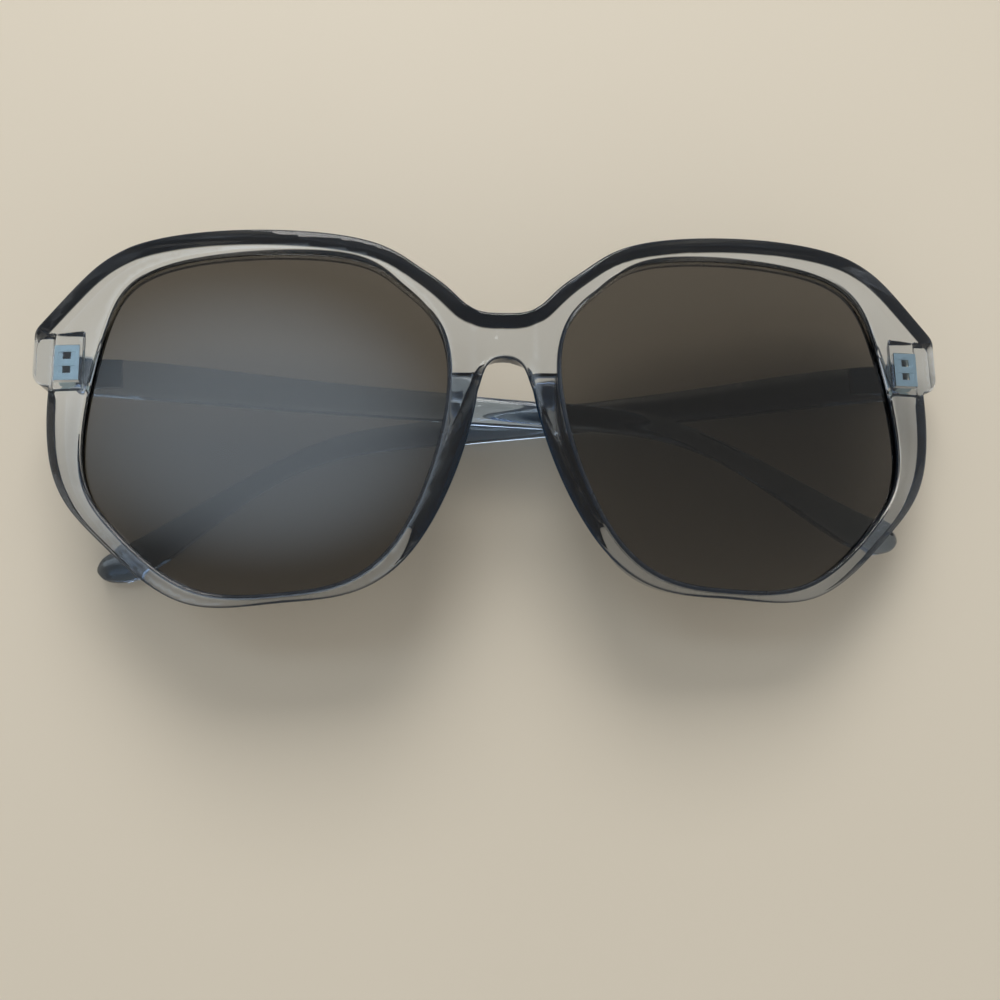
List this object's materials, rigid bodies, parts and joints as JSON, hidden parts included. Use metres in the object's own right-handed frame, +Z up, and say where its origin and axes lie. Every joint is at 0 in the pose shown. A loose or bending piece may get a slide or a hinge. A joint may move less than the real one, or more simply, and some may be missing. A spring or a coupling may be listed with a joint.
{
  "type": "sunglasses",
  "caption": "Oversized rounded-hexagonal sunglasses in clear grey moulded plastic with grey-brown lenses, both temples folded on working screw hinges.",
  "frame": {"origin": "on the table plane, under the middle of the front's width and height", "axes": "X runs across the front towards the wearer's left end, Y points to the brow, Z points up from the lower temple to the face of the lenses"},
  "size_m": [0.1476, 0.0596, 0.0241],
  "materials": {
    "clear_frame": "polished clear grey plastic",
    "lens_tint": "polished tinted plastic",
    "hinge_metal": "bright plated"
  },
  "bodies": {
    "left_temple": {"temple_left": "clear_frame", "temple_hinge_left": "hinge_metal"},
    "front": {"front_frame": "clear_frame", "lens_right": "lens_tint", "lens_left": "lens_tint", "front_hinge_right": "hinge_metal", "front_hinge_left": "hinge_metal", "hinge_screw_right": "hinge_metal", "hinge_screw_left": "hinge_metal"},
    "right_temple": {"temple_right": "clear_frame", "temple_hinge_right": "hinge_metal"}
  },
  "joints": [
    {"name": "left_temple_hinge", "type": "hinge", "parent": "left_temple", "child": "front", "pos_m": [0.0682, 0.01001, 0.0053], "axis": [0, 1, 0], "range_deg": [0, 87.5]},
    {"name": "right_temple_hinge", "type": "hinge", "parent": "front", "child": "right_temple", "pos_m": [-0.06847, 0.01001, 0.01127], "axis": [0, 1, 0], "range_deg": [0, 91.5]}
  ]
}
